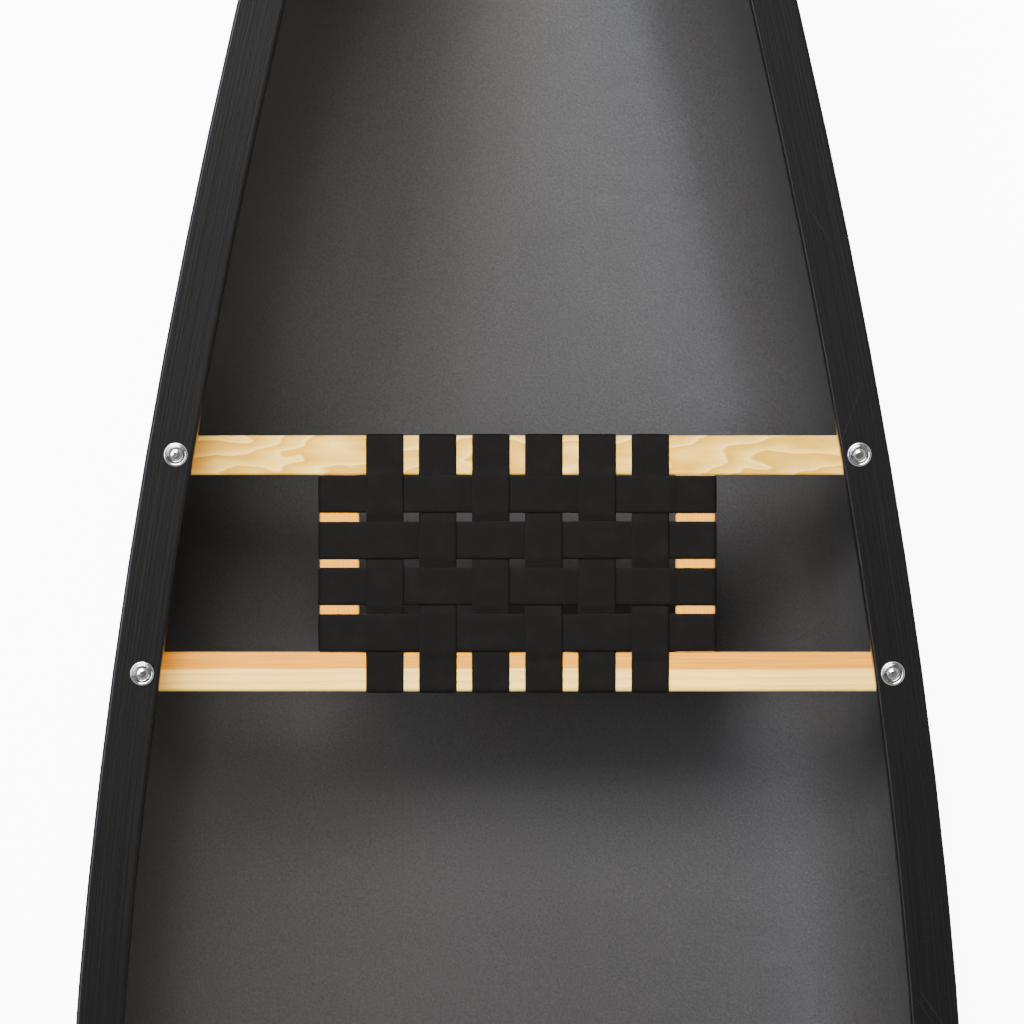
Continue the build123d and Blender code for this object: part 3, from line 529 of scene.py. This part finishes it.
def seat_woods(seat, station, first_board):
    """The finishes of one seat frame's boards, by node name."""
    rear_face = station - HALF_DEPTH
    two_tone = (rear_face + 0.0225, WARM_HEART, rear_face)
    waves = {"pitch": 0.030, "slope": 0.42, "wander": 0.058, "sharpness": -0.08}
    straight = {"pitch": 0.009, "slope": 0.01, "wander": 0.004}
    side = {"runs": "X", "early": SIDE_GRAIN, "late": HEARTWOOD}
    truss = {"runs": "X", "pitch": 0.005}
    boards = (
        ("front_rail", "front rail", 0.0, {"early": SAPWOOD, "late": GOLDEN, **waves}),
        ("rear_rail", "rear rail", 1.3, {"early": SAPWOOD, "late": SAP_LINE, "split": two_tone, **straight}),
        ("side_rail_port", "port rail", 2.6, side),
        ("side_rail_starboard", "starboard rail", 3.9, side),
        ("dowels", "dowel", 5.0, {"runs": "X", "early": SAPWOOD, "late": GOLDEN}),
        ("truss_port", "port truss", 6.1, truss),
        ("truss_starboard", "starboard truss", 7.2, truss),
    )
    return {
        f"{seat}_{part}": mix_wood(f"{seat} {title} wood", first_board + further, **settings)
        for part, title, further, settings in boards
    }


woods = {}
for seat, first_board in (("bow_seat", 1.0), ("stern_seat", 21.0)):
    woods.update(seat_woods(seat, SEAT_STATIONS[seat], first_board))
for number, bar in enumerate(("yoke", "thwart", "bow_carry_handle", "stern_carry_handle")):
    rings = {"pitch": 0.006 + 0.001 * number, "slope": 0.015, "wander": 0.012}
    woods[bar] = mix_wood(bar.replace("_", " ") + " wood", 40.0 + 3.1 * number, **rings)
print(len(woods), "boards have their own wood")

# %% [markdown]
# ### Metals
# Bolts, cup washers and nuts are polished stainless steel, a little brighter in some spots than others from
# handling. The stiffeners hidden inside the gunwales are plain drawn alloy with die lines along them, and
# the rivets are coated black to match the vinyl.


# %% Mix the metals
STEEL_TONES = ((0.3, (0.50, 0.50, 0.49)), (0.7, (0.68, 0.68, 0.68)))
ALLOY_TONES = ((0.3, (0.52, 0.53, 0.54)), (0.7, (0.66, 0.67, 0.68)))


def mix_steel():
    made, tree, shader, place = new_finish("polished stainless", Metallic=1.0)
    smears = speckle(tree, place, 160, 3.0, 0.6)
    hairs = speckle(tree, stretched(tree, place, (900, 3800, 900)), 1.0, 1.0)
    feed(tree, shader.inputs["Base Color"], ramp(tree, smears, *STEEL_TONES))
    feed(tree, shader.inputs["Roughness"], between(tree, smears, 0.3, 0.7, 0.10, 0.20))
    bumped(tree, shader, hairs, 0.000015)
    return made


def mix_drawn_alloy():
    made, tree, shader, place = new_finish("drawn alloy", Metallic=1.0)
    along = place_group(tree, along_gunwale, {"Place": place}).outputs["Place"]
    lines = speckle(tree, stretched(tree, along, (4, 900, 900)), 1.0, 3.0, 0.6)
    feed(tree, shader.inputs["Base Color"], ramp(tree, lines, *ALLOY_TONES))
    feed(tree, shader.inputs["Roughness"], between(tree, lines, 0.3, 0.7, 0.32, 0.48))
    bumped(tree, shader, lines, 0.00004)
    return made


def mix_coated_alloy():
    made, tree, shader, place = new_finish("black coated rivet", Specular_IOR_Level=0.5)
    chips = between(tree, speckle(tree, place, 420, 2.0), 0.66, 0.72)
    feed(tree, shader.inputs["Base Color"], blended(tree, chips, (0.018, 0.018, 0.019), (0.28, 0.28, 0.28)))
    feed(tree, shader.inputs["Metallic"], chips)
    feed(tree, shader.inputs["Roughness"], between(tree, speckle(tree, place, 90), 0.3, 0.7, 0.30, 0.44))
    bumped(tree, shader, speckle(tree, place, 1500), 0.00003)
    return made


steel, drawn_alloy, coated_alloy = mix_steel(), mix_drawn_alloy(), mix_coated_alloy()

# %% [markdown]
# ### Webbing
# Black nylon is matt, but its yarns catch a little light at a low angle, which the sheen layer gives.
# The selvedges rub on the wood and go slightly grey.


# %% Mix the webbing
NYLON, WORN_EDGE, DUST = (0.0043, 0.0040, 0.0037), (0.014, 0.013, 0.012), (0.022, 0.020, 0.018)


def mix_webbing():
    sheen = {"Sheen_Weight": 0.02, "Sheen_Roughness": 0.45, "Sheen_Tint": (0.6, 0.58, 0.56)}
    made, tree, shader, place = new_finish("black seat webbing", Specular_IOR_Level=0.04, **sheen)
    laid = node(tree, "UVMap", uv_map="strap").outputs["UV"]
    threads = place_group(tree, weave, {"Across and along": laid})
    tone = between(tree, threads.outputs["Yarn"], 0.3, 0.7, 0.75, 1.3)
    # painted shade and highlight: the colour is darker in the weave's hollows and lighter on its raised ribs,
    # times the yarns' own tone
    yarn_tone_and_painted_shade = sums(tree, "MULTIPLY", tone, between(tree, threads.outputs["Height"], 0.0, 0.7, 0.45, 1.1))
    dust = between(tree, speckle(tree, place, 45, 4.0, 0.6), 0.5, 0.75, 0.0, 0.10)
    base = toned(tree, NYLON, yarn_tone_and_painted_shade)
    edged = blended(tree, sums(tree, "MULTIPLY", threads.outputs["Edge"], 0.30), base, WORN_EDGE)
    feed(tree, shader.inputs["Base Color"], blended(tree, dust, edged, DUST))
    feed(tree, shader.inputs["Roughness"], between(tree, threads.outputs["Height"], 0.0, 1.0, 0.82, 0.60))
    bumped(tree, shader, threads.outputs["Height"], 0.00028, 0.6)
    return made


webbing = mix_webbing()
print(len(bpy.data.materials), "materials so far")

# %% [markdown]
# ## Dressing the frame
# Parts that keep their shape only need their finish, so it goes into the material slots they already have.


# %% Lay the finishes on the frame's parts
def finish_for(name):
    """The finish of a part, by what its name says it is."""
    if name in woods:
        return woods[name]
    if name == "hull":
        return hull_laminate
    if "stiffener" in name:
        return drawn_alloy
    if "rivets" in name:
        return coated_alloy
    if name.startswith("gunwale_"):
        return gunwale_vinyl
    if "deck_cap" in name:
        return deck_vinyl
    return webbing if "straps" in name else steel


for name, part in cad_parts.items():
    for slot in part.material_slots:
        slot.material = finish_for(name)
print("finishes laid on", len(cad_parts), "parts")

# %% [markdown]
# ## Weaving the seats
# A seat is woven from ten straps: six along the boat and four across it, over one and under the next.
# Each strap starts under its rail, turns round the rail's outer edge, weaves across, and is pulled round the
# far rail. It could be made with a curve and a bevel, but then its UVs would not be in metres, so we sweep
# a thin rounded section along a path in mesh code and write the UVs as we go.

# %% The sizes of the weave
STRAP_WIDTH, STRAP_THICKNESS = 0.038, 0.0015
LOW, HIGH = 0.0009, 0.0026  # a strap's middle over the rail's top, going under another and over it
RAIL_THICKNESS = 0.019
FLAP = 0.032  # strap turned in under the rail
RAMP = 0.009  # length of a climb from one level to the other
RAIL_BEND, CROSSING_BEND = 0.0039, 0.009  # radii
ALONG_PITCH, ACROSS_PITCH = 0.0537, 0.0467
HALF_WIDTH = 0.2000  # seat's middle to the outer face of a side rail


def centred(count, pitch):
    """Places of evenly spaced straps about the middle."""
    return [pitch * ((count - 1) / 2 - i) for i in range(count)]


columns, rows = centred(6, ALONG_PITCH), centred(4, ACROSS_PITCH)
print("straps along the boat at", [round(c, 4) for c in columns])

# %% [markdown]
# The path is first drawn with straight runs: down the rail's side, over its top, and up or down between
# crossings. Webbing is stiff, so its bends are rounded, gently at the crossings and tighter at the rail.


# %% The path of one strap, in the plane of its length and height
def strap_route(outer, crossings, over):
    """Corner points and the radius of each bend, from one flap to the other."""
    under, reach = -RAIL_THICKNESS - LOW, outer + LOW
    margin = STRAP_WIDTH / 2 + 0.0005
    points, bends = [(outer - FLAP, under), (reach, under), (reach, LOW)], [RAIL_BEND] * 2
    level, leave = LOW, crossings[0] + margin + RAMP
    for place, is_over in zip(crossings, over):
        wanted = HIGH if is_over else LOW
        if wanted != level:
            points += [(leave, level), (place + margin, wanted)]
            bends += [CROSSING_BEND] * 2
        level, leave = wanted, place - margin
    if level != LOW:
        points += [(leave, level), (leave - RAMP, LOW)]
        bends += [CROSSING_BEND] * 2
    points += [(-reach, LOW), (-reach, under), (FLAP - outer, under)]
    return [Vector(p) for p in points], bends + [RAIL_BEND] * 2


def bent(points, bends):
    """The route with every corner turned into an arc."""
    path = [points[0]]
    for before, here, after, radius in zip(points, points[1:], points[2:], bends):
        back, on = (before - here).normalized(), (after - here).normalized()
        half = back.angle(on) / 2
        if half > math.pi / 2 - 0.01:
            path.append(here)
            continue
        start, stop = here + back * (radius / math.tan(half)), here + on * (radius / math.tan(half))
        centre = here + (back + on).normalized() * (radius / math.sin(half))
        first = math.atan2(start.y - centre.y, start.x - centre.x)
        turn = math.remainder(math.atan2(stop.y - centre.y, stop.x - centre.x) - first, math.tau)
        steps = max(3, round(abs(turn) / 0.25))
        for i in range(steps + 1):
            angle = first + turn * i / steps
            path.append(centre + radius * Vector((math.cos(angle), math.sin(angle))))
    return path + [points[-1]]


def evenly(path, step=0.004):
    """More points on the long runs, so that a strap can dip and swell a little."""
    full = [path[0]]
    for a, b in zip(path, path[1:]):
        parts = max(1, round((b - a).length / step))
        full += [a.lerp(b, i / parts) for i in range(1, parts + 1)]
    return full


route = bent(*strap_route(HALF_DEPTH, rows, [True, False, True, False]))
print("a strap along the boat has", len(evenly(route)), "stations")

# %% [markdown]
# The section is a flat oval: the tape is thickest in the middle and its selvedges are round. It is a ring of
# points, and a strap is that ring repeated along the path, with a lid on each cut end.


# %% Sweep the section along the path
def section_ring(width, thickness, across=14):
    """(across, up) pairs round the tape, starting at its left edge."""
    half, t = width / 2, thickness / 2
    top = []
    for i in range(across + 1):
        u = -1 + 2 * i / across
        u = math.copysign(abs(u) ** 0.8, u)
        rise = t * (1 - abs(u) ** 14) ** 0.5
        top.append((half * u, rise))
    return top[:-1] + [(x, -z) for x, z in reversed(top)][:-1]


def sweep(name, path, to_world, rng):
    """A strap as a mesh, with a UV map in metres: across in U, along in V."""
    ring = section_ring(STRAP_WIDTH, STRAP_THICKNESS)
    mesh, form = bpy.data.meshes.new(name), bmesh.new()
    uv = form.loops.layers.uv.new("strap")
    phase, run, stations = rng.uniform(0, 9), 0.0, []
    for i, here in enumerate(path):
        before, after = path[max(i - 1, 0)], path[min(i + 1, len(path) - 1)]
        ahead = (after - before).normalized()
        up = Vector((ahead.y, -ahead.x))
        run += (here - before).length if i else 0.0
        drift = 0.00022 * math.sin(9 * run + phase)
        corners = []
        for u, v in ring:
            spot = here + up * v
            corners.append(form.verts.new(to_world(spot.x, u + drift, spot.y)))
        stations.append((run, corners))
    count = len(ring)
    for (v0, one), (v1, two) in zip(stations, stations[1:]):
        for k in range(count):
            n = (k + 1) % count
            face = form.faces.new((one[k], one[n], two[n], two[k]))
            face.smooth = True
            left, right = ring[k][0], ring[n][0]
            for loop, (u, v) in zip(face.loops, ((left, v0), (right, v0), (right, v1), (left, v1))):
                loop[uv].uv = (u, v)
    for (v, corners), flip in ((stations[0], True), (stations[-1], False)):
        lid = form.faces.new(corners[::-1] if flip else corners)
        for loop in lid.loops:
            loop[uv].uv = (0.0, v)
    bmesh.ops.recalc_face_normals(form, faces=form.faces)
    form.to_mesh(mesh)
    form.free()
    mesh.materials.append(webbing)
    piece = bpy.data.objects.new(name, mesh)
    bpy.context.collection.objects.link(piece)
    return piece


# %% [markdown]
# Each seat now gets its ten straps. A strap stands for one of the frame's plain straps, which is hidden, and
# it rides on the boat. The seat's height is read from its front rail, so the weave lies right on the wood.


# %% Weave both seats
def weave_seat(seat, station, rng):
    """Ten straps in place of a seat's plain ones; returns the weave's height and how many there are."""
    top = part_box(f"{seat}_front_rail")[1].z
    woven = []

    def lay(name, plain, outer, crossings, over, to_world):
        """Sweep one strap, and note which plain straps it stands for."""
        path = evenly(bent(*strap_route(outer, crossings, over)))
        woven.append((sweep(f"{seat}_{name}", path, to_world, rng), f"{seat}_{plain}"))

    for i, y in enumerate(columns):
        over = [(i + j) % 2 == 0 for j in range(len(rows))]
        lengthwise = lambda s, u, z, y=y: (station + s, y + u, top + z)  # noqa: E731
        lay(f"strap_along_{i + 1}", "straps_lengthwise", HALF_DEPTH, rows, over, lengthwise)
    for j, x in enumerate(rows):
        over = [(i + j) % 2 == 1 for i in range(len(columns))]
        crosswise = lambda s, u, z, x=x: (station + x + u, s, top + z)  # noqa: E731
        lay(f"strap_across_{j + 1}", "straps_crosswise", HALF_WIDTH, columns, over, crosswise)
    for strap, plain in woven:
        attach(strap, "root")
        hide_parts(plain)
    return top, len(woven)


rng = random.Random(7)
for seat, station in SEAT_STATIONS.items():
    print(seat, "woven at height", weave_seat(seat, station, rng))

# %% [markdown]
# ## Floor and backdrop
# The boat rests on a plain pale studio floor, so large that its edge is never seen. A studio lights its
# floor on its own to blow it out to white. Here the floor's own glow does that, for the camera only, so that
# it does not flood the hull from below. Where the hull almost touches the floor, the glow is dimmed as a
# painted contact shadow.


# %% Lay the floor
FLOOR_GLOW = 9.0
SHADE_REACH = 0.09  # the floor's glow is dimmed this near to the hull, as a painted contact shadow


def lay_floor(radius=60.0):
    """A round floor, pale and a little uneven in tone."""
    made, tree, shader, place = new_finish("studio floor", Specular_IOR_Level=0.3)
    tone = speckle(tree, place, 0.8, 3.0)
    feed(tree, shader.inputs["Base Color"], ramp(tree, tone, (0.3, 0.78), (0.7, 0.82)))
    feed(tree, shader.inputs["Roughness"], between(tree, tone, 0.3, 0.7, 0.6, 0.7))
    feed(tree, shader.inputs["Emission Color"], (1.0, 1.0, 1.0))
    seen = node(tree, "LightPath").outputs["Is Camera Ray"]
    # painted contact shadow: the glow is dimmed where the hull is near the floor
    painted_shadow_ao = node(tree, "AmbientOcclusion", {"Distance": SHADE_REACH}).outputs["AO"]
    glow = between(tree, painted_shadow_ao, 0.35, 0.95, 0.3, FLOOR_GLOW)
    feed(tree, shader.inputs["Emission Strength"], sums(tree, "MULTIPLY", seen, glow))
    form = bmesh.new()
    bmesh.ops.create_circle(form, cap_ends=True, segments=96, radius=radius)
    mesh = bpy.data.meshes.new("floor")
    form.to_mesh(mesh)
    form.free()
    mesh.materials.append(made)
    floor = bpy.data.objects.new("floor", mesh)
    bpy.context.collection.objects.link(floor)
    return floor


print("floor", lay_floor().dimensions[:])

# %% [markdown]
# ## Light
# A large soft light hangs overhead, leaning towards the bow and to port, and gives the seat a soft shadow
# aft and to starboard. A long cool light low on the port side draws the broad sheen along the far bilge.
# Warm lights to starboard and straight above only lift the shadows, so gloss does not see them. The room
# itself is dim and warm, with a dark ceiling, so the flat trim stays black and the steel has something dark
# to mirror.


# %% Hang the lights
AIM = Vector((0.75, 0, 0.2))  # ahead of the middle, inside the hull


def hang_light(name, offset, size, power, colour, mirrored=True):
    """A soft light that faces AIM. The camera doesn't see it, and gloss does only if it is mirrored."""
    lamp = bpy.data.lights.new(name, "AREA")
    lamp.shape, lamp.size, lamp.size_y = "RECTANGLE", *size
    lamp.energy, lamp.color = power, colour
    holder = bpy.data.objects.new(name, lamp)
    holder.location = AIM + Vector(offset)
    holder.rotation_euler = (-Vector(offset)).to_track_quat("-Z", "Y").to_euler()
    holder.visible_camera, holder.visible_glossy = False, mirrored
    bpy.context.collection.objects.link(holder)
    return holder


def dim_room(strength, colour, backdrop):
    """Warm fill from the walls and a dark ceiling; the camera sees a pale backdrop in their place."""
    world = bpy.context.scene.world or bpy.data.worlds.new("studio")
    bpy.context.scene.world = world
    world.use_nodes = True
    tree = world.node_tree
    tree.nodes.clear()
    rise = node(tree, "SeparateXYZ", {"Vector": node(tree, "TexCoord").outputs["Generated"]}).outputs["Z"]
    walls = between(tree, rise, 0.45, 0.92, strength, 0.15 * strength)
    fill = node(tree, "Background", {"Color": colour, "Strength": walls})
    seen = node(tree, "Background", {"Color": (1.0, 1.0, 1.0), "Strength": backdrop})
    path = node(tree, "LightPath").outputs["Is Camera Ray"]
    mixed = node(tree, "MixShader", {0: path, 1: fill.outputs[0], 2: seen.outputs[0]})
    out = node(tree, "OutputWorld")
    tree.links.new(mixed.outputs[0], out.inputs["Surface"])


hang_light("overhead key", (2.7, 0.9, 5.4), (2.2, 2.2), 790.0, (1.0, 0.985, 0.96))
hang_light("port sheen", (1.6, 3.3, 5.3), (5.0, 1.2), 460.0, (0.74, 0.80, 1.0))
hang_light("starboard fill", (0.2, -4.2, 3.2), (4.0, 1.5), 200.0, (1.0, 0.92, 0.82), mirrored=False)
hang_light("ceiling fill", (0.0, 0.5, 5.8), (3.0, 3.0), 140.0, (1.0, 0.94, 0.86), mirrored=False)
dim_room(0.95, (1.0, 0.96, 0.92), 10.0)
